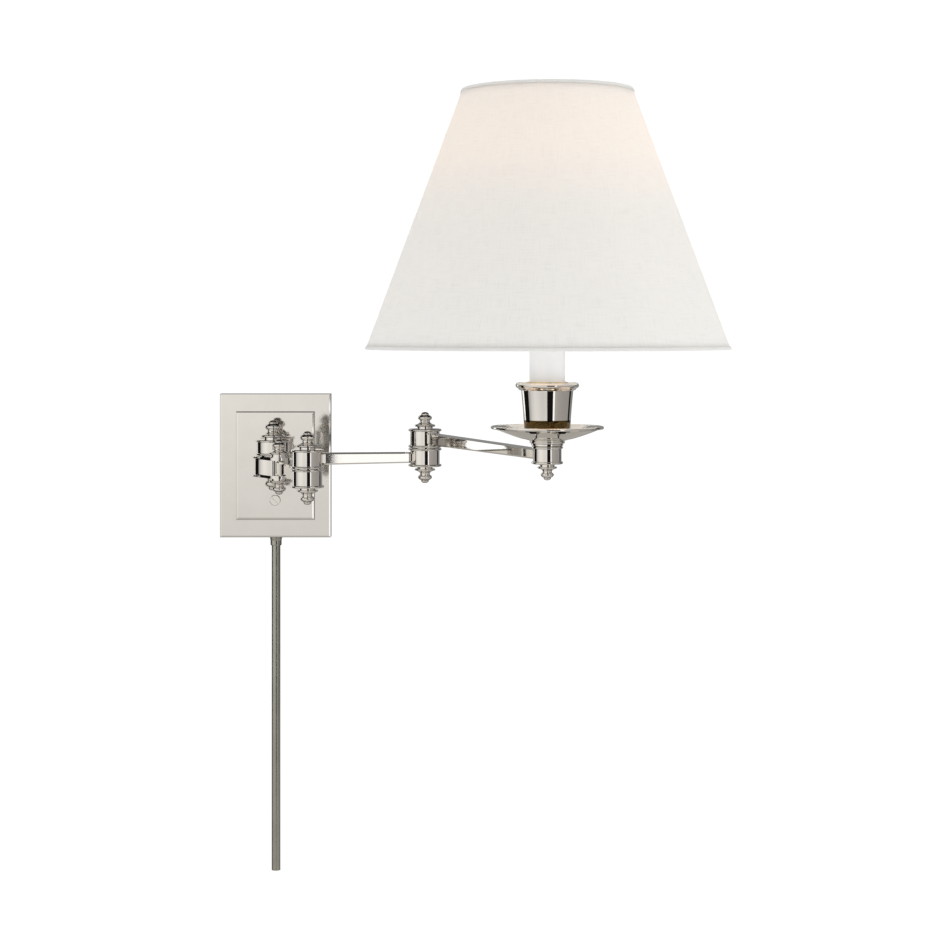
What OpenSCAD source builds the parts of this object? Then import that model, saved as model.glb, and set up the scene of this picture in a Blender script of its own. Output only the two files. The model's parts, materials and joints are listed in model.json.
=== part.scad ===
// Swing arm wall sconce: a rectangular wall plate with a cord-cover tube, a short forked
// link, three arms joined by knuckles with turned finials, and a candle lamp head under a
// tapered linen shade. The origin is the middle of the plate's back face, on the wall.
// +Z is up, -Y is out into the room, +X is to the right of someone facing the wall.

/* [Wall plate] */
// Width of the wall plate
plate_w = 120.6; // [112:0.2:140]
// Height of the wall plate
plate_h = 156; // [150:1:180]
// Depth of the wall plate
plate_d = 20; // [18:1:26]
// Width of the raised panel
panel_w = 86; // [78:1:96]
// Height of the raised panel
panel_h = 118; // [112:1:130]
// Height of the raised panel above the plate
panel_t = 2.5; // [2:0.5:4]

/* [Cord cover] */
// Outer diameter of the cord-cover tube
tube_d = 9.6; // [8:0.2:12]
// Length of the tube below the plate
tube_len = 364; // [150:1:500]

/* [Arms] */
// Distance of the wall knuckle from the wall
wall_offset = 55; // [52:1:62]
// Length of the forked link between its two axes
link_len = 32; // [32:1:40]
// Length of the rear arm between its axes
rear_len = 140; // [120:1:160]
// Length of the middle arm between its axes
middle_len = 120; // [110:1:140]
// Length of the front arm between its axes
front_len = 303; // [240:1:320]
// Thickness of the arms
arm_t = 8.6; // [7:0.2:10]

/* [Pose] */
// Direction of the forked link
link_dir = -74.8; // [-90:0.1:-60]
// Direction of the rear arm
rear_dir = -74.6; // [-90:0.1:-60]
// Direction of the middle arm
middle_dir = 13.5; // [0:0.1:40]
// Direction of the front arm
front_dir = -69.6; // [-90:0.1:-50]

/* [Knuckles] */
// Diameter of the elbow barrels
barrel_d = 29.4; // [28:0.2:32]
// Height of one elbow barrel
barrel_h = 18.6; // [18:0.1:20]
// Height of the rear arm's level above the plate's middle
rear_z = 0.6; // [-2:0.1:2]

/* [Lamp head] */
// Diameter of the drip pan
pan_d = 98.4; // [90:1:110]
// Diameter of the candle sleeve
candle_d = 30.8; // [30:0.2:33]
// Height of the candle sleeve's top above the lamp barrel
candle_top = 182; // [170:1:190]

/* [Shade] */
// Diameter of the shade's lower rim
shade_bottom_d = 317.5; // [300:0.5:330]
// Diameter of the shade's upper rim
shade_top_d = 148.4; // [140:0.2:160]
// Upright height of the shade
shade_h = 226.6; // [215:0.2:235]
// Height of the shade's lower rim above the front arm
shade_lift = 91.7; // [88:0.1:96]
// Thickness of the linen and its stiff lining
shade_t = 1.2; // [1:0.1:2]

/* [Hidden] */
$fn = 96;

nickel = "lightgray";
brass = "goldenrod";

run = 0.05;        // radial clearance of a running fit
seat = 0.02;       // radial clearance of a screwed or pushed fit
float = 0.2;       // gap between faces that turn past each other
washer_t = 0.4;    // thickness of a pivot washer
joint_gap = washer_t + float;
wall_t = 1.5;      // sheet thickness of the wall plate
bevel = 1.6;       // width of the shallow bevel along the plate's and panel's front edges
bevel_rise = 0.42; // height of that bevel

pin_r = 4;         // pivot pins of the knuckles
pin_wall = 1.3;    // wall of a hollow pin, around the way for the leads
lead_r = 0.8;      // one insulated lead
lead_bore_r = 2.4; // way for the leads along an arm
bead_h = 2.4;      // height of the round bead at each end of a barrel
bead_out = 2;      // how far a bead stands out from its barrel

strap_w = 22;
strap_h = 106;
strap_t = 1.6;
strap_pitch = 88.9;   // spacing of the outlet box screws
strap_slot_w = 4.8;
strap_slot_l = 8;
slot_straight = strap_slot_l - strap_slot_w;
screw_z = -37.4;      // height of the plate screw
screw_head_r = 5.8;
screw_r = 2;
thread_r = 5;         // threaded tail of the wall stub and lamp pipe
tip_r = 2.6;          // thin lower end of the lamp pipe, inside its finial

wall_r = 17.7;        // wall knuckle, upper barrel
wall_h = 16.6;
wall_bead_out = 1.4;
link_r = 20.5;        // wall knuckle, lower barrel
link_bead_out = 2.5;
tine_t = 3;           // thickness of the link's tines
tine_r = 12;          // round end of a tine
eye_r = 5.8;          // eye at the back of the rear arm
eye_h = 15.5;
link_z = rear_z + 1.5;                  // middle of the link and of the eye
link_top = link_z + eye_h / 2 + 0.25 + tine_t;
link_bottom = link_z - eye_h / 2 - 0.25 - tine_t;
wall_z = link_top + joint_gap;          // underside of the upper wall barrel
link_pin_r = 3;
bush_r = 4.4;
link_washer_t = 1;

lamp_r = 12.4;        // lamp knuckle
lamp_h = 15.6;
lamp_bead_out = 1.4;
barrel_r = barrel_d / 2;
middle_z = rear_z + barrel_h + joint_gap;
front_z = middle_z + barrel_h + joint_gap;
lamp_top = front_z + lamp_h / 2;        // top face of the lamp barrel
lamp_bottom = front_z - lamp_h / 2;

// Axes of the knuckles, worked out along the arms.
function step_from(p, len, dir) = [p[0] + len * cos(dir), p[1] + len * sin(dir)];
wall_xy = [0, -wall_offset];
link_xy = step_from(wall_xy, link_len, link_dir);
elbow_1_xy = step_from(link_xy, rear_len, rear_dir);
elbow_2_xy = step_from(elbow_1_xy, middle_len, middle_dir);
lamp_xy = step_from(elbow_2_xy, front_len, front_dir);

coupler_h = 5;
pan_z = lamp_top + float + coupler_h;   // where the drip pan rests on the coupler
pan_t = 1.4;
cup_z = pan_z + pan_t;
cup_h = 48.6;
cup_rim_r = 27.6;
cup_t = 1.4;
candle_r = candle_d / 2;
candle_t = 1.1;
candle_z = cup_z + 16;                  // foot of the sleeve, inside the cup
candle_end = lamp_top + candle_top;
socket_z = candle_end - 42;             // underside of the socket cap
shell_r = 13.7;
screw_shell_in_r = 13.2;                // inside of the socket's screw shell
bulb_cap_r = 13;
bulb_z = candle_end + 8;                // where the glass leaves its cap
bulb_r = 30;
bulb_h = 84;
glass_t = 0.8;
knob_z = socket_z + 10;
knob_dir = 20;
knob_shaft_r = 2.2;
shade_z = front_z + shade_lift;
wire_r = 1.3;
fitter_z = candle_end + 2;              // ring that carries the shade on the socket
spoke_r = 1.2;

// Points along an arc about c, from angle a0 to angle a1.
function arc(c, r, a0, a1, n = 8) =
    [for (i = [0:n]) let (a = a0 + (a1 - a0) * i / n) [c[0] + r * cos(a), c[1] + r * sin(a)]];

// Points along part of an ellipse about [0, z].
function bulge(z, rx, rz, a0, a1, n) =
    [for (i = [0:n]) let (a = a0 + (a1 - a0) * i / n) [rx * cos(a), z + rz * sin(a)]];

// A turned finial standing on z = 0: a brim, a cove, an oblate ball and a domed button.
// With skirt = false it starts at its cove.
module finial_body(skirt = true) {
    upper = concat(
        [[6.7, 5.9], [6.1, 6.4], [5.6, 7], [5.3, 7.8], [5.3, 8.4]],
        bulge(11.6, 7.6, 3.9, -44, 52, 14), [[3.9, 14.8]],
        bulge(15.2, 4.4, 2.8, 0, 90, 8));
    rotate_extrude()
        polygon(concat(
            [[0, 0]],
            skirt ? concat([[8.4, 0], [8.4, 2.1]], arc([10.1, 3.3], 1.1, -75, 80, 8),
                           [[8.9, 4.7], [7.7, 5.2]])
                  : [[7.2, 0]],
            [for (p = upper) skirt ? p : p - [0, 5]]));
}

// A finial of the given scale, drilled for the end of its pin and turned upside down if asked.
module finial(size, drill_r, drill_h, skirt = true, down = false) {
    mirror([0, 0, down ? 1 : 0])
        difference() {
            scale(size) finial_body(skirt);
            translate([0, 0, -1]) cylinder(r = drill_r + seat, h = drill_h + 1);
        }
}

// Outline of one barrel's outside, with a round bead at each end, from z = 0 to h.
function barrel_outline(r, h, bead) = concat(
    arc([r + bead - bead_h / 2, bead_h / 2], bead_h / 2, -90, 90, 10),
    [[r, bead_h], [r, h - bead_h]],
    arc([r + bead - bead_h / 2, h - bead_h / 2], bead_h / 2, -90, 90, 10));

// A barrel from z = 0 to h, bored for its pin, with a hollow middle for the leads.
// sides lists the directions in which an arm's leads come in.
module barrel(r, h, bead, bore_r, sides = []) {
    end_t = 3;
    chamber_r = r - 4;
    difference() {
        rotate_extrude()
            polygon(concat(
                [[bore_r, 0]], barrel_outline(r, h, bead),
                [[bore_r, h], [bore_r, h - end_t], [chamber_r, h - end_t],
                 [chamber_r, end_t], [bore_r, end_t]]));
        for (a = sides)
            translate([0, 0, h / 2]) rotate([0, 90, a])
                translate([0, 0, chamber_r - 2]) cylinder(r = lead_bore_r, h = 10, $fn = 48);
    }
}

// A flat washer from z = 0.
module washer(r, bore_r, t) {
    difference() {
        cylinder(r = r, h = t);
        translate([0, 0, -1]) cylinder(r = bore_r, h = t + 2);
    }
}

// A hollow pin from z0 to z1, with a slot-like cross hole where the leads pass through.
module hollow_pin(r, z0, z1, cross_z = []) {
    difference() {
        translate([0, 0, z0]) cylinder(r = r, h = z1 - z0, $fn = 48);
        translate([0, 0, z0 - 1]) cylinder(r = r - pin_wall, h = z1 - z0 + 2, $fn = 48);
        for (z = cross_z)
            translate([0, 0, z]) rotate([90, 0, 0]) cylinder(r = r / 2, h = 3 * r, center = true, $fn = 48);
    }
}

// Cross section of an arm: a flat bar with bevelled edges.
module arm_section(t, h) {
    c = 1.5;
    rotate([90, 0, 90])
        linear_extrude(0.01)
            polygon([[-t / 2, -h / 2 + c], [-t / 2 + c, -h / 2], [t / 2 - c, -h / 2], [t / 2, -h / 2 + c],
                     [t / 2, h / 2 - c], [t / 2 - c, h / 2], [-t / 2 + c, h / 2], [-t / 2, h / 2 - c]]);
}

// A bar along +X from x0 to x1, with a short narrowed neck at each end that meets a barrel.
// Its first end is rise0 above its second.
module arm_bar(x0, x1, h0, h1, neck0 = true, rise0 = 0) {
    neck = 6;
    neck_t = arm_t - 3;
    a = neck0 ? x0 + neck : x0;
    b = x1 - neck;
    hull() {
        translate([a, 0, rise0]) arm_section(arm_t, h0);
        translate([b, 0, 0]) arm_section(arm_t, h1);
    }
    if (neck0)
        hull() {
            translate([x0, 0, 0]) arm_section(neck_t, h0 - 1.4);
            translate([a, 0, 0]) arm_section(arm_t, h0);
        }
    hull() {
        translate([b, 0, 0]) arm_section(arm_t, h1);
        translate([x1, 0, 0]) arm_section(neck_t, h1 - 1.4);
    }
}

module at(xy, z, dir = 0) {
    translate([xy[0], xy[1], z]) rotate([0, 0, dir]) children();
}

// Two leads side by side along +X.
module leads(x0, x1) {
    for (s = [-1, 1])
        translate([x0, s * (lead_r + 0.1), 0]) rotate([0, 90, 0]) cylinder(r = lead_r, h = x1 - x0, $fn = 24);
}

// Flat outline of a tine: a large circle about the origin and a small one at link_len along +X,
// joined by their common tangents.
module tine_outline(bore_r) {
    a = acos((link_r - tine_r) / link_len);
    difference() {
        union() {
            circle(r = link_r);
            translate([link_len, 0]) circle(r = tine_r);
            polygon([
                [link_r * cos(a), link_r * sin(a)], [link_r * cos(a), -link_r * sin(a)],
                [link_len + tine_r * cos(a), -tine_r * sin(a)],
                [link_len + tine_r * cos(a), tine_r * sin(a)]]);
        }
        translate([link_len, 0]) circle(r = bore_r);
    }
}

// A block from y = y0 out to y1, whose front edges have a steep side and then a shallow bevel.
module bevelled_block(w, h, y0, y1, side) {
    module layer(y, inset) {
        translate([-w / 2 + inset, y, -h / 2 + inset]) cube([w - 2 * inset, 0.05, h - 2 * inset]);
    }
    hull() {
        translate([0, -0.05, 0]) layer(y0, 0);
        layer(y1 + bevel_rise + side * tan(60), 0);
        layer(y1 + bevel_rise, side);
        layer(y1, side + bevel);
    }
}

// Holes through the plate and panel for the stub, and for the plate screw.
module plate_holes() {
    translate([0, 1, wall_z + wall_h / 2]) rotate([90, 0, 0]) cylinder(r = thread_r + seat, h = 2 * plate_d);
    translate([0, 1, screw_z]) rotate([90, 0, 0]) cylinder(r = screw_r + 0.3, h = 2 * plate_d);
}

module mounting_strap() {
    color("silver")
        difference() {
            translate([-strap_w / 2, -strap_t, -strap_h / 2]) cube([strap_w, strap_t, strap_h]);
            for (s = [-1, 1])
                translate([0, 0, s * strap_pitch / 2]) {
                    for (z = [-1, 1])
                        translate([0, 1, z * slot_straight / 2])
                            rotate([90, 0, 0]) cylinder(r = strap_slot_w / 2, h = 4);
                    translate([-strap_slot_w / 2, -3, -slot_straight / 2])
                        cube([strap_slot_w, 4, slot_straight]);
                }
            translate([0, 1, screw_z]) rotate([90, 0, 0]) cylinder(r = screw_r + seat, h = 4);
        }
}

module back_plate() {
    color(nickel)
        difference() {
            bevelled_block(plate_w, plate_h, 0, -plate_d, 0.3);
            translate([-plate_w / 2 + wall_t, -plate_d + wall_t + 1.2, -plate_h / 2 + wall_t])
                cube([plate_w - 2 * wall_t, plate_d, plate_h - 2 * wall_t]);
            plate_holes();
            translate([0, -plate_d / 2 + 1, -plate_h / 2 - 1]) cylinder(r = tube_d / 2 - 1, h = 5);
        }
}

module raised_panel() {
    color(nickel)
        difference() {
            bevelled_block(panel_w, panel_h, -plate_d, -plate_d - panel_t, 1.15);
            plate_holes();
            translate([0, -plate_d - panel_t + 0.5, screw_z]) rotate([90, 0, 0])
                difference() {
                    cylinder(r = screw_head_r + 0.6, h = 2);
                    translate([0, 0, -1]) cylinder(r = screw_head_r, h = 4);
                }
        }
}

module plate_screw() {
    face = -plate_d - panel_t;
    color(nickel)
        difference() {
            union() {
                translate([0, face, screw_z]) rotate([90, 0, 0]) {
                    cylinder(r = screw_head_r, h = 0.3);
                    translate([0, 0, 0.3]) cylinder(r1 = screw_head_r, r2 = screw_head_r - 0.6, h = 0.9);
                }
                translate([0, 0, screw_z]) rotate([90, 0, 0]) cylinder(r = screw_r, h = -face + 0.1);
            }
            translate([0, face - 1.2, screw_z]) rotate([0, 42, 0]) cube([20, 2, 1.1], center = true);
        }
}

module wall_stub() {
    face = -plate_d - panel_t;
    neck_r = 5.6;
    color(nickel)
        difference() {
            translate([0, 0, wall_z + wall_h / 2]) rotate([90, 0, 0]) {
                translate([0, 0, plate_d / 2]) cylinder(r = thread_r, h = -face);
                translate([0, 0, -face]) cylinder(r = 11, h = 2.5);
                translate([0, 0, -face]) cylinder(r = neck_r, h = wall_offset + face);
            }
            translate([0, 1, wall_z + wall_h / 2]) rotate([90, 0, 0]) cylinder(r = 3, h = wall_offset);
            at(wall_xy, wall_z - 1) cylinder(r = wall_r, h = wall_h + 2);
        }
}

module stub_nut() {
    nut_t = 4;
    color(brass)
        translate([0, -plate_d + wall_t + 1.2, wall_z + wall_h / 2]) rotate([-90, 0, 0])
            difference() {
                cylinder(r = 9, h = nut_t, $fn = 6);
                translate([0, 0, -1]) cylinder(r = thread_r + seat, h = nut_t + 2);
            }
}

module wall_barrel() {
    color(nickel) at(wall_xy, wall_z) barrel(wall_r, wall_h, wall_bead_out, pin_r + seat, [90]);
}

module wall_pin() {
    color("silver") at(wall_xy, 0)
        hollow_pin(pin_r, link_bottom - 6, wall_z + wall_h + 9, [wall_z + wall_h / 2, rear_z]);
}

module wall_finial_top() {
    color(nickel) at(wall_xy, wall_z + wall_h) finial(1.16, pin_r, 9);
}

module wall_finial_bottom() {
    color(nickel) at(wall_xy, link_bottom - float) finial(1.18, pin_r, 6, skirt = false, down = true);
}

module tube_collar() {
    color(nickel)
        translate([0, -plate_d / 2 + 1, -plate_h / 2])
            rotate_extrude()
                polygon(concat(
                    [[tube_d / 2 + seat, 0], [6.4, 0]],
                    arc([5.9, -1.6], 0.9, 40, -40, 4),
                    [[6.2, -4], [6.2, -8.6], [5.6, -9.6], [tube_d / 2 + seat, -9.6]]));
}

module cord_tube() {
    color(nickel)
        translate([0, -plate_d / 2 + 1, -plate_h / 2 - tube_len])
            difference() {
                cylinder(d = tube_d, h = tube_len);
                translate([0, 0, -1]) cylinder(d = tube_d - 2, h = tube_len + 2);
            }
}

module wall_link() {
    h = link_top - link_bottom;
    chamber_r = link_r - 4.5;
    color(nickel)
        at(wall_xy, link_bottom, link_dir)
            difference() {
                union() {
                    rotate_extrude()
                        polygon(concat([[0, 0]], barrel_outline(link_r, h, link_bead_out), [[0, h]]));
                    linear_extrude(tine_t) tine_outline(link_pin_r + seat);
                    translate([0, 0, h - tine_t]) linear_extrude(tine_t) tine_outline(link_pin_r + seat);
                }
                translate([0, 0, -1]) cylinder(r = pin_r + run, h = h + 2);
                translate([0, 0, tine_t]) cylinder(r = chamber_r, h = h - 2 * tine_t);
                // way for the leads
                translate([chamber_r - 2, 0, h / 2]) rotate([0, 90, 0]) cylinder(r = lead_bore_r, h = 12);
            }
}

module wall_washer() {
    color(nickel) at(wall_xy, link_top) washer(wall_r - 5, pin_r + run, washer_t);
}

module link_pin() {
    color("silver") at(link_xy, 0)
        hollow_pin(link_pin_r, link_bottom - 7, link_top + link_washer_t + 8, [rear_z]);
}

module link_washer() {
    color(nickel) at(link_xy, link_top) washer(9.2, link_pin_r + seat, link_washer_t);
}

module link_finial_top() {
    color(nickel) at(link_xy, link_top + link_washer_t) finial(1, link_pin_r, 8);
}

module link_finial_bottom() {
    color(nickel) at(link_xy, link_bottom) finial(0.97, link_pin_r, 7, down = true);
}

module rear_arm() {
    color(nickel)
        at(link_xy, rear_z, rear_dir)
            difference() {
                union() {
                    translate([0, 0, link_z - rear_z]) cylinder(r = eye_r, h = eye_h, center = true);
                    arm_bar(0, rear_len, eye_h - 0.1, 13.6, neck0 = false, rise0 = link_z - rear_z);
                }
                cylinder(r = bush_r, h = 3 * eye_h, center = true);
                translate([rear_len, 0, 0]) cylinder(r = barrel_r, h = 30, center = true);
                rotate([0, 90, 0]) cylinder(r = lead_bore_r, h = rear_len, $fn = 48);
            }
}

module rear_bush() {
    color(brass)
        at(link_xy, link_z)
            difference() {
                cylinder(r = bush_r - seat, h = eye_h, center = true);
                cylinder(r = link_pin_r + run, h = eye_h + 1, center = true);
                translate([0, 0, rear_z - link_z])
                    rotate([0, 90, rear_dir]) cylinder(r = 2, h = 10, $fn = 48);
            }
}

module rear_barrel() {
    color(nickel)
        at(elbow_1_xy, rear_z - barrel_h / 2)
            barrel(barrel_r, barrel_h, bead_out, pin_r + seat, [rear_dir + 180]);
}

module rear_leads() {
    color("ivory") at(link_xy, rear_z, rear_dir) leads(bush_r + 1, rear_len - barrel_r + 3);
}

// An elbow's pin, from the bottom finial of its lower barrel to its top finial.
module elbow_pin(xy, z) {
    at(xy, z)
        hollow_pin(pin_r, -barrel_h / 2 - 7, 1.5 * barrel_h + joint_gap + float + 7,
            [0, barrel_h + joint_gap]);
}

module elbow_1_pin() {
    color("silver") elbow_pin(elbow_1_xy, rear_z);
}

module elbow_1_washer() {
    color(nickel) at(elbow_1_xy, rear_z + barrel_h / 2) washer(barrel_r - 4, pin_r + seat, washer_t);
}

module elbow_1_finial_top() {
    color(nickel) at(elbow_1_xy, middle_z + barrel_h / 2 + float) finial(1, pin_r, 7);
}

module elbow_1_finial_bottom() {
    color(nickel) at(elbow_1_xy, rear_z - barrel_h / 2) finial(0.95, pin_r, 7, down = true);
}

module middle_arm() {
    color(nickel)
        at(elbow_1_xy, middle_z, middle_dir)
            difference() {
                arm_bar(barrel_r - 3, middle_len - barrel_r + 3, 12, 10.8);
                cylinder(r = barrel_r, h = 30, center = true);
                translate([middle_len, 0, 0]) cylinder(r = barrel_r, h = 30, center = true);
                rotate([0, 90, 0]) cylinder(r = lead_bore_r, h = middle_len, $fn = 48);
            }
}

module middle_barrel_inner() {
    color(nickel)
        at(elbow_1_xy, middle_z - barrel_h / 2)
            barrel(barrel_r, barrel_h, bead_out, pin_r + run, [middle_dir]);
}

module middle_barrel_outer() {
    color(nickel)
        at(elbow_2_xy, middle_z - barrel_h / 2)
            barrel(barrel_r, barrel_h, bead_out, pin_r + seat, [middle_dir + 180]);
}

module middle_leads() {
    color("ivory") at(elbow_1_xy, middle_z, middle_dir) leads(barrel_r - 3, middle_len - barrel_r + 3);
}

module elbow_2_pin() {
    color("silver") elbow_pin(elbow_2_xy, middle_z);
}

module elbow_2_washer() {
    color(nickel) at(elbow_2_xy, middle_z + barrel_h / 2) washer(barrel_r - 4, pin_r + seat, washer_t);
}

module elbow_2_finial_top() {
    color(nickel) at(elbow_2_xy, front_z + barrel_h / 2 + float) finial(0.93, pin_r, 7);
}

module elbow_2_finial_bottom() {
    color(nickel) at(elbow_2_xy, middle_z - barrel_h / 2) finial(0.93, pin_r, 7, down = true);
}

module front_arm() {
    color(nickel)
        at(elbow_2_xy, front_z, front_dir)
            difference() {
                arm_bar(barrel_r - 3, front_len - lamp_r + 3, 12, 9.4);
                cylinder(r = barrel_r, h = 30, center = true);
                translate([front_len, 0, 0]) cylinder(r = lamp_r, h = 30, center = true);
                rotate([0, 90, 0]) cylinder(r = lead_bore_r, h = front_len, $fn = 48);
            }
}

module front_barrel() {
    color(nickel)
        at(elbow_2_xy, front_z - barrel_h / 2)
            barrel(barrel_r, barrel_h, bead_out, pin_r + run, [front_dir]);
}

module lamp_barrel() {
    color(nickel)
        at(lamp_xy, lamp_bottom)
            barrel(lamp_r, lamp_h, lamp_bead_out, thread_r + run, [front_dir + 180]);
}

module front_leads() {
    color("ivory") at(elbow_2_xy, front_z, front_dir) leads(barrel_r - 3, front_len - lamp_r + 2.5);
}

module swivel_washer() {
    color(nickel) at(lamp_xy, lamp_bottom - washer_t) washer(lamp_r - 5, thread_r + run, washer_t);
}

module lamp_pipe() {
    color(brass)
        at(lamp_xy, 0)
            difference() {
                union() {
                    translate([0, 0, lamp_bottom - joint_gap])
                        cylinder(r = thread_r, h = socket_z + 3 + joint_gap - lamp_bottom);
                    translate([0, 0, lamp_bottom - joint_gap - 7]) cylinder(r = tip_r, h = 8);
                }
                translate([0, 0, lamp_bottom + 2]) cylinder(r = 3.6, h = socket_z - lamp_bottom + 20);
                translate([0, 0, front_z]) rotate([90, 0, 0]) cylinder(r = 2.2, h = 20, center = true);
            }
}

module lamp_finial() {
    color(nickel) at(lamp_xy, lamp_bottom - joint_gap) finial(0.76, tip_r, 7, down = true);
}

module coupler() {
    color(nickel)
        at(lamp_xy, lamp_top + float)
            rotate_extrude()
                polygon(concat(
                    [[thread_r + seat, 0]],
                    [[13.2, 0], [13.9, 0.5], [13.9, 1.8], [13.3, 2.1]],
                    arc([14.4, 3.1], 1, -80, 60, 6),
                    [[15.4, 4.4], [16, coupler_h], [thread_r + seat, coupler_h]]));
}

module drip_pan() {
    pan_r = pan_d / 2;
    rise = 10.9;
    // underside: a flat foot, then a curve out to a rolled rim
    function under(k) = [18 + (pan_r - 2.4 - 18) * k, 0.4 + (rise - 1.2) * pow(k, 1.25)];
    color(nickel)
        at(lamp_xy, pan_z)
            rotate_extrude()
                polygon(concat(
                    [[thread_r + seat, 0], [17, 0]],
                    [for (i = [0:8]) under(i / 8)],
                    arc([pan_r - 1.3, rise], 1.3, -90, 150, 10),
                    [for (i = [7:-1:1]) under(i / 8) + [-0.3, pan_t]],
                    [[17.6, pan_t], [thread_r + seat, pan_t]]));
}

module candle_cup() {
    // outer wall from the foot to the rolled lip
    foot = [[12.6, 0], [13.4, 0.4]];
    function wall(k) = [20.1 + 2.5 * pow(k, 1.3), 8 + 33.4 * k];
    color(nickel)
        at(lamp_xy, cup_z)
            rotate_extrude()
                polygon(concat(
                    [[thread_r + seat, 0]], foot,
                    arc([14, 6.6], 6.1, -70, 0, 6),
                    [for (i = [0:6]) wall(i / 6)],
                    arc([22.6, 44.6], 2.9, -90, -20, 4),
                    arc([cup_rim_r - 2.4, cup_h - 2.4], 2.4, -50, 150, 10),
                    [[22.4, 45.2]],
                    [for (i = [6:-1:0]) wall(i / 6) - [cup_t, 0]],
                    arc([14, 6.9], 4.8, 0, -70, 5),
                    [[13, 2], [thread_r + seat, 2]]));
}

module cup_ring() {
    color(brass)
        at(lamp_xy, cup_z + cup_h - 6.4)
            rotate_extrude()
                polygon([[candle_r + seat, 0], [20.9, 0], [21.1, 1.6], [20.6, 3.4], [18.4, 4.6],
                         [18.2, 6.6], [17.2, 7], [candle_r + seat, 7]]);
}

module pipe_nut() {
    color(brass)
        at(lamp_xy, cup_z + 2)
            difference() {
                cylinder(r = 9.5, h = 4, $fn = 6);
                translate([0, 0, -1]) cylinder(r = thread_r + seat, h = 6);
            }
}

module candle_sleeve() {
    color("white")
        at(lamp_xy, 0)
            difference() {
                translate([0, 0, candle_z]) cylinder(r = candle_r, h = candle_end - candle_z);
                translate([0, 0, candle_z - 1])
                    cylinder(r = candle_r - candle_t, h = candle_end - candle_z + 2);
                translate([0, 0, knob_z]) rotate([0, 90, knob_dir]) cylinder(r = knob_shaft_r + 1, h = 30);
            }
}

module socket_cap() {
    color("dimgray")
        at(lamp_xy, socket_z)
            difference() {
                cylinder(r = candle_r - candle_t - seat, h = 18);
                translate([0, 0, -1]) cylinder(r = thread_r + seat, h = 5);
                translate([0, 0, 3]) cylinder(r = candle_r - candle_t - 1.5, h = 20);
                translate([0, 0, 10]) rotate([0, 90, knob_dir]) cylinder(r = knob_shaft_r + 0.1, h = 30);
            }
}

module socket_insulator() {
    color("white")
        at(lamp_xy, socket_z + 15)
            difference() {
                union() {
                    cylinder(r = candle_r - candle_t - 1.5 - seat, h = 6);
                    translate([0, 0, 3]) cylinder(r = shell_r, h = 3);
                }
                translate([0, 0, -1]) cylinder(r = 2, h = 8);
            }
}

module socket_shell() {
    color(brass)
        at(lamp_xy, socket_z + 21)
            difference() {
                cylinder(r = shell_r, h = candle_end + 7 - socket_z - 21);
                translate([0, 0, -1]) cylinder(r = screw_shell_in_r, h = 60);
            }
}

module turn_knob() {
    color("black")
        at(lamp_xy, knob_z) rotate([0, 90, knob_dir]) {
            translate([0, 0, 6]) cylinder(r = knob_shaft_r, h = 13);
            translate([0, 0, candle_r + 1.6])
                difference() {
                    cylinder(r = 5.6, h = 9.5);
                    for (s = [-1, 1])
                        translate([s * 5.6, 0, 6]) cube([6.4, 14, 9], center = true);
                }
        }
}

module bulb_cap() {
    color("silver")
        at(lamp_xy, socket_z + 24)
            difference() {
                cylinder(r = bulb_cap_r, h = bulb_z - socket_z - 24);
                translate([0, 0, 2]) cylinder(r = bulb_cap_r - 1, h = 40);
            }
}

module bulb_glass() {
    function belly(k, t) = [13 - t + (bulb_r - 13) * (0.5 - 0.5 * cos(180 * k)),
        (bulb_h - bulb_r) * k];
    top = [0, bulb_h - bulb_r];
    color("white")
        at(lamp_xy, bulb_z)
            rotate_extrude()
                polygon(concat(
                    [for (i = [0:8]) belly(i / 8, 0)],
                    arc(top, bulb_r, 10, 90, 10),
                    arc(top, bulb_r - glass_t, 90, 10, 10),
                    [for (i = [8:-1:0]) belly(i / 8, glass_t)]));
}

// Radius of the shade's outside at height z above its lower rim.
function shade_r(z) = (shade_bottom_d + (shade_top_d - shade_bottom_d) * z / shade_h) / 2;

module shade() {
    color("linen")
        at(lamp_xy, shade_z)
            rotate_extrude($fn = 180)
                polygon([
                    [shade_bottom_d / 2 - shade_t, 0], [shade_bottom_d / 2, 0],
                    [shade_top_d / 2, shade_h], [shade_top_d / 2 - shade_t, shade_h]]);
}

module wire_ring(r) {
    rotate_extrude($fn = 180) translate([r, 0]) circle(r = wire_r, $fn = 24);
}

top_wire_z = shade_h - 3;
top_wire_r = shade_r(top_wire_z) - shade_t - wire_r - 0.15;

// The shade's carrier: a collar on the socket and three spokes up to the wire ring.
module shade_frame() {
    collar_r = 17;
    foot = fitter_z + 1 - shade_z;
    run_out = top_wire_r - collar_r;
    rise = top_wire_z - foot;
    spoke_len = sqrt(run_out * run_out + rise * rise) - wire_r - 0.05;
    color("silver")
        at(lamp_xy, shade_z) {
            difference() {
                translate([0, 0, foot - 1]) cylinder(r = collar_r + 1, h = 2);
                translate([0, 0, foot - 2]) cylinder(r = shell_r + seat, h = 4);
            }
            for (a = [0, 120, 240])
                rotate([0, 0, a + 50]) translate([collar_r, 0, foot])
                    rotate([0, atan2(run_out, rise), 0]) cylinder(r = spoke_r, h = spoke_len, $fn = 24);
        }
}

module shade_top_wire() {
    color("silver") at(lamp_xy, shade_z + top_wire_z) wire_ring(top_wire_r);
}

module shade_bottom_wire() {
    z = 3;
    color("silver") at(lamp_xy, shade_z + z) wire_ring(shade_r(z) - shade_t - wire_r - 0.15);
}

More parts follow.
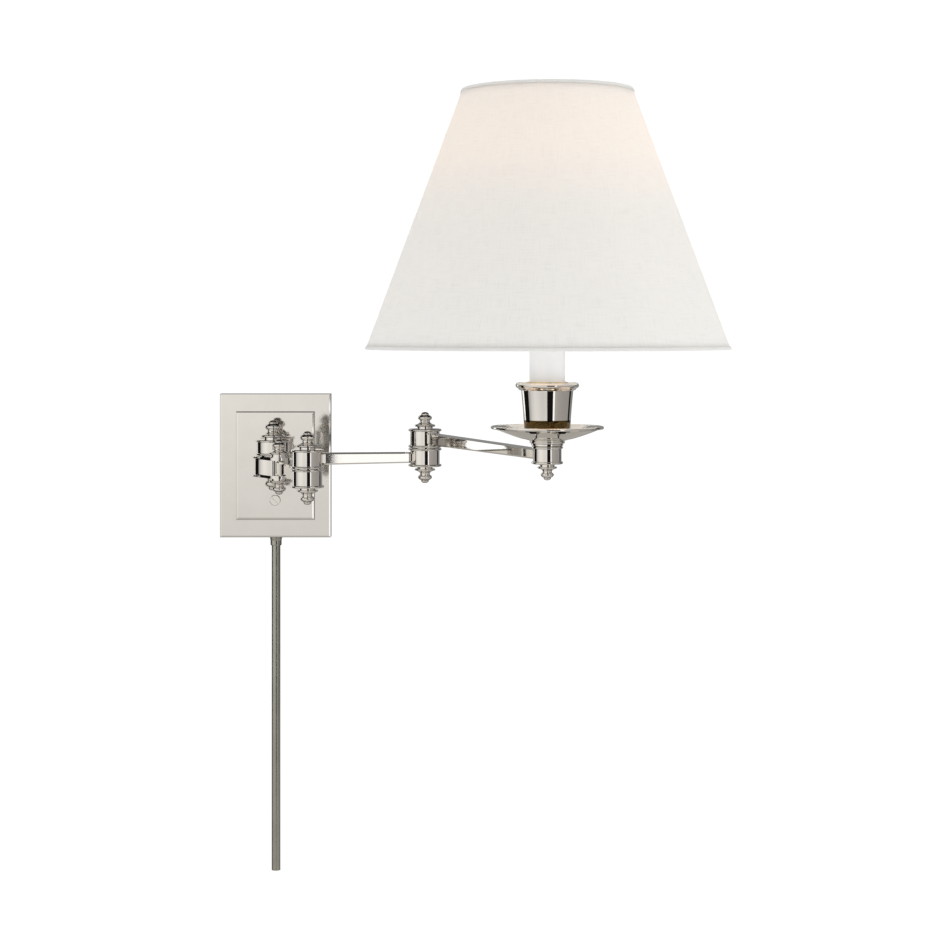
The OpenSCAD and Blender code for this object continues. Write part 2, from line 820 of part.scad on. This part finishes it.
mounting_strap();
back_plate();
raised_panel();
plate_screw();
wall_stub();
stub_nut();
wall_barrel();
wall_pin();
wall_finial_top();
wall_finial_bottom();
tube_collar();
cord_tube();
wall_link();
wall_washer();
link_pin();
link_washer();
link_finial_top();
link_finial_bottom();
rear_arm();
rear_bush();
rear_barrel();
rear_leads();
elbow_1_pin();
elbow_1_washer();
elbow_1_finial_top();
elbow_1_finial_bottom();
middle_arm();
middle_barrel_inner();
middle_barrel_outer();
middle_leads();
elbow_2_pin();
elbow_2_washer();
elbow_2_finial_top();
elbow_2_finial_bottom();
front_arm();
front_barrel();
lamp_barrel();
front_leads();
swivel_washer();
lamp_pipe();
lamp_finial();
coupler();
drip_pan();
candle_cup();
cup_ring();
pipe_nut();
candle_sleeve();
socket_cap();
socket_insulator();
socket_shell();
turn_knob();
bulb_cap();
bulb_glass();
shade();
shade_frame();
shade_top_wire();
shade_bottom_wire();
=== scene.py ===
"""Looks of the swing arm wall sconce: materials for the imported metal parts, the linen shade
as its own detailed piece, a lit bulb, and soft studio light with reflector cards."""

import json
import math

import bmesh
import bpy
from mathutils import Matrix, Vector


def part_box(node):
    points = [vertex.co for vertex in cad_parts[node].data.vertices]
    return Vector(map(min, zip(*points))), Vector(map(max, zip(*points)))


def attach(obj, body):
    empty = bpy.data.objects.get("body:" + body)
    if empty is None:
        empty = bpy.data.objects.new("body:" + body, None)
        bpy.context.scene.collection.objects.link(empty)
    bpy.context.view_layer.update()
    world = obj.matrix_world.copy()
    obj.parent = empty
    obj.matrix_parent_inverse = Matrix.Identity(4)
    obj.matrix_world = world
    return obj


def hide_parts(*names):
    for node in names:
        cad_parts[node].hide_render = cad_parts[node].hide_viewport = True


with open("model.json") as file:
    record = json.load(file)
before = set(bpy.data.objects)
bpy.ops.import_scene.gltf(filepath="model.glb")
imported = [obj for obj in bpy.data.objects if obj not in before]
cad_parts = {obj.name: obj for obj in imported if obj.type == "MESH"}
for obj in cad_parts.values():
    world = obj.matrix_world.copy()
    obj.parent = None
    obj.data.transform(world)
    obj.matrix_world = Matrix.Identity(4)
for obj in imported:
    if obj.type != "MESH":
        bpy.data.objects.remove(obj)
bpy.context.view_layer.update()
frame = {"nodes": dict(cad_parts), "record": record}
NODES = frame["nodes"]
LAMP = "lamp_head"


# ---------------------------------------------------------------- node helpers

NOISE_ROUGHNESS = 0.55  # share of its strength that each finer layer of noise keeps

def new_material(name):
    mat = bpy.data.materials.new(name)
    mat.use_nodes = True
    return mat, mat.node_tree.nodes, mat.node_tree.links, mat.node_tree.nodes["Principled BSDF"]


def object_coords(nodes, links, stretch=(1, 1, 1)):
    coord = nodes.new("ShaderNodeTexCoord")
    mapping = nodes.new("ShaderNodeMapping")
    mapping.inputs["Scale"].default_value = stretch
    links.new(coord.outputs["Object"], mapping.inputs["Vector"])
    return mapping.outputs["Vector"]


def noise(nodes, links, vector, scale, detail=3.0):
    tex = nodes.new("ShaderNodeTexNoise")
    tex.inputs["Scale"].default_value = scale
    tex.inputs["Detail"].default_value = detail
    tex.inputs["Roughness"].default_value = NOISE_ROUGHNESS
    links.new(vector, tex.inputs["Vector"])
    return tex.outputs["Fac"]


def spread(nodes, links, value, low, high, start=0.3, end=0.7):
    """Maps start-end to low-high."""
    node = nodes.new("ShaderNodeMapRange")
    ends = {"From Min": start, "From Max": end, "To Min": low, "To Max": high}
    for name, number in ends.items():
        node.inputs[name].default_value = number
    links.new(value, node.inputs["Value"])
    return node.outputs["Result"]


def two_tone(nodes, links, value, dark, light, start=0.3, end=0.7):
    """A colour that goes from dark at start to light at end."""
    ramp = nodes.new("ShaderNodeValToRGB")
    ramp.color_ramp.elements[0].position = start
    ramp.color_ramp.elements[0].color = (*dark, 1)
    ramp.color_ramp.elements[1].position = end
    ramp.color_ramp.elements[1].color = (*light, 1)
    links.new(value, ramp.inputs["Fac"])
    return ramp.outputs["Color"]


def combine(nodes, links, operation, first, second):
    node = nodes.new("ShaderNodeMath")
    node.operation = operation
    links.new(first, node.inputs[0])
    links.new(second, node.inputs[1])
    return node.outputs[0]


def bump(nodes, links, height, distance):
    node = nodes.new("ShaderNodeBump")
    node.inputs["Distance"].default_value = distance
    node.inputs["Strength"].default_value = 1.0
    links.new(height, node.inputs["Height"])
    return node.outputs["Normal"]


# ------------------------------------------------------------------- materials

# Each pair of tones is (dark, light), and each pair of roughnesses is (low, high).
CLOUDS = 38.0  # scale of the faint clouds in a metal's colour
FINE_GRAIN = 900.0  # scale of the grain that polishing leaves
FINE_RELIEF = 2e-6  # its depth in metres


def metal(name, tones, roughness, grain=(1, 1, 1), lines=FINE_GRAIN, relief=FINE_RELIEF):
    """Metal with faint clouds in its colour, uneven polish and a fine grain. grain stretches it."""
    mat, nodes, links, shader = new_material(name)
    shader.inputs["Metallic"].default_value = 1.0
    cloud = noise(nodes, links, object_coords(nodes, links), CLOUDS, 4.0)
    links.new(two_tone(nodes, links, cloud, *tones), shader.inputs["Base Color"])
    fine = noise(nodes, links, object_coords(nodes, links, grain), lines, 2.0)
    polish = combine(nodes, links, "MULTIPLY", cloud, fine)
    links.new(spread(nodes, links, polish, *roughness, 0.1, 0.45), shader.inputs["Roughness"])
    links.new(bump(nodes, links, fine, relief), shader.inputs["Normal"])
    return mat


def footed(name, above, foot, roughness, height):
    """Polished metal whose foot has other tones, up to a height in the part's coordinates."""
    mat, nodes, links, shader = new_material(name)
    shader.inputs["Metallic"].default_value = 1.0
    coords = object_coords(nodes, links)
    cloud = noise(nodes, links, coords, CLOUDS, 4.0)
    split = nodes.new("ShaderNodeSeparateXYZ")
    links.new(coords, split.inputs["Vector"])
    upper = nodes.new("ShaderNodeMath")
    upper.operation = "GREATER_THAN"
    upper.inputs[1].default_value = height
    links.new(split.outputs["Z"], upper.inputs[0])
    mix = nodes.new("ShaderNodeMix")
    mix.data_type = "RGBA"
    links.new(upper.outputs[0], mix.inputs["Factor"])
    # Sockets named A, B and Result exist once for each data type. These are the colour ones.
    links.new(two_tone(nodes, links, cloud, *foot), mix.inputs[6])
    links.new(two_tone(nodes, links, cloud, *above), mix.inputs[7])
    links.new(mix.outputs[2], shader.inputs["Base Color"])
    fine = noise(nodes, links, coords, FINE_GRAIN, 2.0)
    links.new(spread(nodes, links, fine, *roughness), shader.inputs["Roughness"])
    links.new(bump(nodes, links, fine, FINE_RELIEF), shader.inputs["Normal"])
    return mat


MOULDED_GRAIN = 1400.0
MOULDED_SPREAD = 0.06  # how far the roughness strays to either side


def moulded(name, tones, roughness, relief=2e-5):
    """Plastic, porcelain or insulation: a slightly uneven colour and a fine grain."""
    mat, nodes, links, shader = new_material(name)
    coords = object_coords(nodes, links)
    tone = noise(nodes, links, coords, 60.0, 4.0)
    links.new(two_tone(nodes, links, tone, *tones), shader.inputs["Base Color"])
    grain = noise(nodes, links, coords, MOULDED_GRAIN, 2.0)
    low, high = roughness - MOULDED_SPREAD, roughness + MOULDED_SPREAD
    links.new(spread(nodes, links, grain, low, high), shader.inputs["Roughness"])
    links.new(bump(nodes, links, grain, relief), shader.inputs["Normal"])
    return mat


def frosted_bulb():
    """Frosted glass, lit from inside."""
    mat, nodes, links, shader = new_material("frosted bulb")
    tone = noise(nodes, links, object_coords(nodes, links), 30.0)
    colour = two_tone(nodes, links, tone, (1.0, 0.83, 0.62), (1.0, 0.88, 0.7))
    links.new(colour, shader.inputs["Base Color"])
    shader.inputs["Emission Color"].default_value = (1.0, 0.82, 0.58, 1)
    shader.inputs["Emission Strength"].default_value = 1.0
    grain = noise(nodes, links, object_coords(nodes, links), 2400.0)
    links.new(spread(nodes, links, grain, 0.35, 0.5), shader.inputs["Roughness"])
    return mat


THREAD = 0.00062  # spacing of the linen's threads
SLUB_LONG, SLUB_FINE = 60, 1400  # noise scales along and across a thick thread
BACK_OF_CLOTH = 0.35  # share of the light that comes through from behind


def linen(name, tones, relief):
    """Plain-woven linen: crossed threads along the cloth's UV directions, with slubs.
    U runs round the shade and V up its slant, both in metres."""
    mat, nodes, links, shader = new_material(name)
    uv = nodes.new("ShaderNodeTexCoord").outputs["UV"]
    waves = []
    for axis in ("X", "Y"):
        wave = nodes.new("ShaderNodeTexWave")
        wave.bands_direction = axis
        wave.inputs["Scale"].default_value = math.pi / THREAD / 10
        wave.inputs["Distortion"].default_value = 1.2
        wave.inputs["Detail"].default_value = 1.0
        wave.inputs["Detail Scale"].default_value = 3.0
        links.new(uv, wave.inputs["Vector"])
        waves.append(wave.outputs["Fac"])
    weave = combine(nodes, links, "MULTIPLY", *waves)
    slubs = []
    for scale in ((SLUB_LONG, SLUB_FINE, 1), (SLUB_FINE, SLUB_LONG, 1)):
        mapping = nodes.new("ShaderNodeMapping")
        mapping.inputs["Scale"].default_value = scale
        links.new(uv, mapping.inputs["Vector"])
        slubs.append(noise(nodes, links, mapping.outputs["Vector"], 1.0, 2.0))
    slub = combine(nodes, links, "ADD", *slubs)
    colour = two_tone(nodes, links, slub, *tones, 0.75, 1.15)
    normal = bump(nodes, links, combine(nodes, links, "ADD", weave, slub), relief)
    links.new(colour, shader.inputs["Base Color"])
    links.new(normal, shader.inputs["Normal"])
    shader.inputs["Roughness"].default_value = 0.92
    shader.inputs["Specular IOR Level"].default_value = 0.15
    shader.inputs["Sheen Weight"].default_value = 0.15
    shader.inputs["Sheen Roughness"].default_value = 0.6
    behind = nodes.new("ShaderNodeBsdfTranslucent")
    links.new(colour, behind.inputs["Color"])
    links.new(normal, behind.inputs["Normal"])
    mix = nodes.new("ShaderNodeMixShader")
    mix.inputs["Fac"].default_value = BACK_OF_CLOTH
    links.new(shader.outputs["BSDF"], mix.inputs[1])
    links.new(behind.outputs["BSDF"], mix.inputs[2])
    links.new(mix.outputs["Shader"], nodes["Material Output"].inputs["Surface"])
    return mat


NICKEL = ((0.78, 0.755, 0.715), (0.82, 0.795, 0.755))
# Tones for the cup's foot: brass, darkened far below real brass as painted shade where the cup
# stands in the drip pan.
BRASS_DARKENED_BY_PAINTED_SHADE = ((0.035, 0.02, 0.008), (0.15, 0.1, 0.036))
MATERIALS = {
    "polished_nickel": metal("polished nickel", NICKEL, (0.02, 0.05)),
    "zinc_steel": metal("zinc-plated steel", ((0.52, 0.52, 0.51), (0.66, 0.66, 0.64)),
                        (0.28, 0.42), (1, 1, 12), 260.0, 6e-6),
    "brass": metal("satin brass", ((0.74, 0.55, 0.25), (0.84, 0.66, 0.34)),
                   (0.16, 0.28), (1, 1, 10), 300.0, 4e-6),
    "bulb_metal": metal("bulb cap metal", ((0.66, 0.66, 0.66), (0.8, 0.8, 0.79)),
                        (0.2, 0.34), (1, 1, 8), 420.0, 6e-6),
    "lead_insulation": moulded("lead insulation", ((0.8, 0.78, 0.72), (0.88, 0.86, 0.8)), 0.5),
    # The sleeve's bluish tint is a painted cool cast that cancels the warm light of the bulb
    # falling on it.
    "candle_white": moulded("candle sleeve", ((0.885, 0.91, 0.935), (0.92, 0.945, 0.97)),
                            0.38, 6e-6),
    "phenolic": moulded("phenolic", ((0.035, 0.03, 0.026), (0.06, 0.052, 0.046)), 0.38),
    "porcelain": moulded("porcelain", ((0.85, 0.83, 0.8), (0.92, 0.91, 0.88)), 0.45),
    "bulb_glass": frosted_bulb(),
}

# Parts whose nickel looks different from the rest.
FLAT_NICKEL = metal("softly polished nickel", ((0.77, 0.75, 0.715), (0.81, 0.79, 0.755)),
                    (0.055, 0.09))
TUBE_NICKEL = metal("dull nickel", ((0.4, 0.392, 0.35), (0.46, 0.45, 0.405)), (0.13, 0.24))
FOOT_H = 0.0162  # height of the cup's dark foot
CUP_LOW = min(v.co.z for v in NODES["candle_cup"].data.vertices)
OWN_FINISH = {
    "back_plate": FLAT_NICKEL,
    "raised_panel": FLAT_NICKEL,
    "cord_tube": TUBE_NICKEL,
    "tube_collar": TUBE_NICKEL,
    # The cup's foot is brass darkened with painted shade.
    "candle_cup": footed("nickel cup with a dark foot", NICKEL, BRASS_DARKENED_BY_PAINTED_SHADE, (0.02, 0.06),
                         CUP_LOW + FOOT_H),
}

for part in frame["record"]["subparts"]:
    if part["material_slot"] in MATERIALS:
        node = NODES[part["node"]]
        node.data.materials.clear()
        node.data.materials.append(OWN_FINISH.get(part["node"], MATERIALS[part["material_slot"]]))


# ------------------------------------------------------------- the linen shade

SHADE_LOW, SHADE_HIGH = (Vector(corner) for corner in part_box("shade"))
AXIS = Vector(((SHADE_LOW.x + SHADE_HIGH.x) / 2, (SHADE_LOW.y + SHADE_HIGH.y) / 2, 0))
SHADE_H = SHADE_HIGH.z - SHADE_LOW.z
BOTTOM_R = (SHADE_HIGH.x - SHADE_LOW.x) / 2
TOP_R = max(
    math.hypot(v.co.x - AXIS.x, v.co.y - AXIS.y)
    for v in NODES["shade"].data.vertices if v.co.z > SHADE_HIGH.z - 0.0005)
CLOTH_T = 0.0011
INSET = 0.0006  # how far the cloth lies inside the cone of the CAD shade and short of its rims
HEM = 0.0024  # height of the folded trim along each rim
ROLL_IN, ROLL_R, ROLL_RISE = 0.0011, 0.0014, 0.0006  # the trim's rolled edge over the rim
SEAM = 0.009  # width of the lap seam at the back
SEAM_OUT = 0.0004
SEAM_EDGE = 0.0012  # width over which the seam's edge rises
SEAM_AT = math.radians(78)
SEAM_R = BOTTOM_R * 0.72  # about the radius halfway up, where the seam's width is right
SLANT = math.hypot(SHADE_H, BOTTOM_R - TOP_R)
ROUND = 288  # divisions round the shade
ROWS = 24  # divisions up the cloth


def cone_r(z):
    return BOTTOM_R + (TOP_R - BOTTOM_R) * (z - SHADE_LOW.z) / SHADE_H


def seam_rise(angle):
    """How far the cloth stands out where its two ends lap at the back."""
    off = abs((angle - SEAM_AT + math.pi) % (2 * math.pi) - math.pi) * SEAM_R
    return SEAM_OUT * max(0.0, min(1.0, (SEAM / 2 - off) / SEAM_EDGE))


def ring_of(bm, radius, z, lift=None):
    ring = []
    for i in range(ROUND):
        angle = 2 * math.pi * i / ROUND
        r = radius + (lift(angle) if lift else 0.0)
        ring.append(bm.verts.new((AXIS.x + r * math.cos(angle), AXIS.y + r * math.sin(angle), z)))
    return ring


def skin(bm, rings, slots):
    """Quads between neighbouring rings, and from the last ring to the first, with UVs in metres
    round and up the shade. slots has the material slot of each band of quads."""
    uv = bm.loops.layers.uv.verify()
    for k, slot in enumerate(slots):
        low, high = rings[k], rings[(k + 1) % len(rings)]
        for i in range(ROUND):
            j = (i + 1) % ROUND
            face = bm.faces.new((low[i], low[j], high[j], high[i]))
            face.material_index = slot
            face.smooth = True
            for loop, step in zip(face.loops, (i, i + 1, i + 1, i)):
                angle = 2 * math.pi * step / ROUND
                rise = (loop.vert.co.z - SHADE_LOW.z) / SHADE_H * SLANT
                loop[uv].uv = (angle * (BOTTOM_R + TOP_R) / 2, rise)


def make_piece(name, bm, mats):
    mesh = bpy.data.meshes.new(name)
    bmesh.ops.recalc_face_normals(bm, faces=bm.faces)
    bm.to_mesh(mesh)
    bm.free()
    for mat in mats:
        mesh.materials.append(mat)
    obj = bpy.data.objects.new(name, mesh)
    bpy.context.collection.objects.link(obj)
    return obj


LINEN = linen("natural white linen", ((0.875, 0.865, 0.84), (0.93, 0.922, 0.9)), 1.6e-4)
# The trim's tones are lighter than the linen's: painted light, making up for the light its doubled
# cloth holds back.
TRIM_LINEN_PAINTED_LIGHTER = linen("linen trim", ((0.89, 0.885, 0.87), (0.93, 0.925, 0.91)), 1.2e-4)
LINER = linen("white shade liner", ((0.92, 0.912, 0.895), (0.94, 0.935, 0.92)), 3e-5)


def shade_cloth():
    """The laminated linen cone: linen outside, smooth liner inside."""
    bm = bmesh.new()
    tall = SHADE_H - 2 * INSET
    levels = [SHADE_LOW.z + INSET + tall * k / ROWS for k in range(ROWS + 1)]
    outer = [ring_of(bm, cone_r(z) - INSET, z, seam_rise) for z in levels]
    inner = [ring_of(bm, cone_r(z) - INSET - CLOTH_T, z) for z in reversed(levels)]
    skin(bm, outer + inner, [0] * ROWS + [0] + [1] * ROWS + [0])
    return make_piece("shade_cloth", bm, [LINEN, LINER])


def shade_trim(name, z, up):
    """A strip of the same linen folded over a rim, with a rolled edge, its tones lightened as
    painted light.
    Its outline is given as (distance outside the cone, height above z)."""
    bm = bmesh.new()
    side = 1 if up else -1
    turns = [math.pi * k / 8 for k in range(9)]
    rim = [(-ROLL_IN + ROLL_R * math.cos(t), side * ROLL_RISE * math.sin(t)) for t in turns]
    outline = ([(0.0003, -side * HEM), (0.00035, -side * HEM * 0.5)] + rim
               + [(-0.0022, -side * HEM * 0.5), (-0.0018, -side * HEM)])
    rings = [ring_of(bm, cone_r(z + rise) + out, z + rise, seam_rise) for out, rise in outline]
    skin(bm, rings, [0] * len(rings))
    return make_piece(name, bm, [TRIM_LINEN_PAINTED_LIGHTER])


cloth = shade_cloth()
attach(cloth, LAMP)
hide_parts("shade")
trims = [
    shade_trim("shade_trim_top", SHADE_HIGH.z - INSET, True),
    shade_trim("shade_trim_bottom", SHADE_LOW.z + INSET, False),
]
for trim in trims:
    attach(trim, LAMP)


# --------------------------------------------------------------- light and view

STUDIO = Vector((0.2, -0.3, 0))  # the middle of the ring of reflectors
CARD_R = 4.2
ROOM_R = 6.0
CARD_STEP = 4  # about how many degrees apart a card's columns are
CEILING_Z = 2.6
CARD_FLOOR_Z = -0.9
FLOOR_Z = -0.95
FLOOR_R = 14


def only_in_reflections(obj):
    obj.visible_camera = False
    obj.visible_diffuse = False
    obj.visible_shadow = False
    obj.visible_transmission = False


def glowing(name, bm):
    """A reflector whose own brightness is painted on its corners."""
    mat, nodes, links, shader = new_material(name)
    paint = nodes.new("ShaderNodeVertexColor")
    paint.layer_name = "tone"
    glow = nodes.new("ShaderNodeEmission")
    links.new(paint.outputs["Color"], glow.inputs["Color"])
    links.new(glow.outputs["Emission"], nodes["Material Output"].inputs["Surface"])
    obj = make_piece(name, bm, [mat])
    only_in_reflections(obj)
    return obj


def card(name, columns, rows, tint=(1, 1, 1)):
    """A curved reflector standing on part of a circle round the lamp. columns are (degrees to the
    right of the line out into the room, brightness), and rows are (height, share of it)."""
    bm = bmesh.new()
    paint = bm.verts.layers.float_color.new("tone")
    fine = []
    for (a0, t0), (a1, t1) in zip(columns, columns[1:]):
        steps = max(1, round((a1 - a0) / CARD_STEP))
        fine += [(a0 + (a1 - a0) * k / steps, t0 + (t1 - t0) * k / steps) for k in range(steps)]
    fine.append(columns[-1])
    grid = []
    for angle, tone in fine:
        turn = math.radians(angle)
        x, y = STUDIO.x + CARD_R * math.sin(turn), STUDIO.y - CARD_R * math.cos(turn)
        line = []
        for z, share in rows:
            vert = bm.verts.new((x, y, z))
            vert[paint] = (*(tone * share * t for t in tint), 1)
            line.append(vert)
        grid.append(line)
    for a, b in zip(grid, grid[1:]):
        for k in range(len(rows) - 1):
            bm.faces.new((a[k], b[k], b[k + 1], a[k + 1]))
    return glowing(name, bm)


def flat_card(name, low, high, z, tone):
    """A level reflector between two corners."""
    bm = bmesh.new()
    paint = bm.verts.layers.float_color.new("tone")
    corners = ((low[0], low[1]), (high[0], low[1]), (high[0], high[1]), (low[0], high[1]))
    verts = [bm.verts.new((x, y, z)) for x, y in corners]
    for vert in verts:
        vert[paint] = (*tone, 1)
    bm.faces.new(verts)
    return glowing(name, bm)


def dark_room(name, tone):
    """The unlit studio beyond the reflectors."""
    bm = bmesh.new()
    paint = bm.verts.layers.float_color.new("tone")
    bmesh.ops.create_icosphere(bm, subdivisions=4, radius=ROOM_R)
    bmesh.ops.translate(bm, verts=bm.verts, vec=STUDIO)
    for vert in bm.verts:
        vert[paint] = (*tone, 1)
    return glowing(name, bm)


# Rows for the cards: darker towards the bottom, even, and the strip below both.
UPPER = [(-1.6, 0.55), (-1.2, 0.72), (-0.72, 0.82), (-0.4, 0.9), (-0.1, 1.0), (3.0, 1.0)]
PLAIN = [(-1.6, 1.0), (3.0, 1.0)]
LOWER = [(-2.6, 1.0), (-1.6, 1.0)]
dark_room("studio_room", (0.009, 0.008, 0.0075))
MAIN_LEFT = [(-96, 0.42), (-88, 0.62), (-77, 0.86), (-58, 1.04), (-41, 1.0), (-33, 0.94),
             (-22, 0.9), (-10, 0.93), (-2.5, 0.9)]
card("card_main_left", MAIN_LEFT, UPPER, (1, 0.98, 0.945))
card("card_line_right", [(23.5, 1.3), (31, 1.3)], PLAIN)
card("card_grey_right", [(31, 0.5), (45, 0.43), (70, 0.38), (112, 0.35)], PLAIN,
     (1, 0.945, 0.91))
card("card_right_back", [(128, 0.27), (180, 0.27)], PLAIN)
card("card_left_back", [(-180, 0.3), (-147, 0.3)], PLAIN)
card("card_white_left_back", [(-146, 1.35), (-132, 1.35)], PLAIN)
card("card_low_left", [(-96, 0.16), (-50, 0.06), (-10, 0.04)], LOWER)
card("card_low_line", [(-9.5, 0.42), (-5, 0.42)], LOWER, (1, 0.96, 0.9))
card("card_low_front", [(-5, 0.18), (24, 0.18)], LOWER, (1, 0.96, 0.86))
card("card_low_right", [(24, 0.23), (80, 0.25), (112, 0.4)], LOWER, (1, 0.99, 0.86))
flat_card("card_ceiling", (-1.5, -3.1), (1.9, 0.3), CEILING_Z, (0.16, 0.155, 0.15))
flat_card("card_floor_front", (-2.1, -2.3), (2.5, 0.15), CARD_FLOOR_Z, (0.55, 0.535, 0.51))
flat_card("card_floor_back", (-3.2, 0.75), (3.6, 3.1), CARD_FLOOR_Z, (0.42, 0.4, 0.37))

scene = bpy.context.scene
scene.view_settings.view_transform = "Standard"
world = bpy.data.worlds.new("studio")
scene.world = world
world.use_nodes = True
background = world.node_tree.nodes["Background"]
background.inputs["Color"].default_value = (1.0, 1.0, 1.0, 1)
background.inputs["Strength"].default_value = 1.04

bm = bmesh.new()
bmesh.ops.create_circle(bm, cap_ends=True, segments=96, radius=FLOOR_R)
bmesh.ops.translate(bm, verts=bm.verts, vec=(0, 0, FLOOR_Z))
floor_mat, nodes, links, shader = new_material("pale floor")
shader.inputs["Base Color"].default_value = (0.96, 0.96, 0.955, 1)
shader.inputs["Roughness"].default_value = 0.9
shader.inputs["Specular IOR Level"].default_value = 0.0
shader.inputs["Emission Color"].default_value = (1, 1, 1, 1)
shader.inputs["Emission Strength"].default_value = 0.06
floor = make_piece("floor", bm, [floor_mat])
floor.visible_glossy = False

side = bpy.data.lights.new("side_light", "AREA")
side.shape = "RECTANGLE"
side.size, side.size_y = 1.6, 2.2
side.energy = 9.0
side_light = bpy.data.objects.new("side_light", side)
side_light.location = (2.7, -1.1, 0.5)
aim = Vector((0.27, -0.45, 0.2)) - side_light.location
side_light.rotation_euler = aim.to_track_quat("-Z", "Y").to_euler()
side_light.visible_camera = False
side_light.visible_glossy = False
bpy.context.collection.objects.link(side_light)

# The bulb's light points up, so that the glow is on the upper part of the shade.
lamp = bpy.data.lights.new("bulb_light", "SPOT")
lamp.spot_size = math.radians(168)
lamp.spot_blend = 1.0
lamp.energy = 0.78
lamp.color = (1.0, 0.47, 0.14)
lamp.shadow_soft_size = 0.028
bulb_light = bpy.data.objects.new("bulb_light", lamp)
bulb_light.location = (AXIS.x, AXIS.y, SHADE_LOW.z + SHADE_H * 0.4)
bulb_light.rotation_euler = (math.pi, 0, 0)
bpy.context.collection.objects.link(bulb_light)
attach(bulb_light, LAMP)
# What stands round that light, and the frame, would draw its shadow on the cloth.
for name in ("bulb_glass", "bulb_cap", "socket_shell", "socket_insulator", "candle_sleeve"):
    NODES[name].visible_shadow = False
for name in ("shade_frame", "shade_top_wire", "shade_bottom_wire"):
    NODES[name].visible_shadow = False
    NODES[name].visible_diffuse = False
    NODES[name].visible_transmission = False

camera_data = bpy.data.cameras.new("camera")
camera_data.sensor_fit = "HORIZONTAL"
camera_data.sensor_width = 36
camera_data.lens = 79.5
camera_data.shift_x = 0.0584
camera_data.shift_y = -0.1546
camera_data.clip_end = 60
camera = bpy.data.objects.new("camera", camera_data)
camera.location = (0.1572, -2.303, 0.1486)
camera.rotation_euler = (math.radians(90), 0, 0)
bpy.context.collection.objects.link(camera)
scene.camera = camera
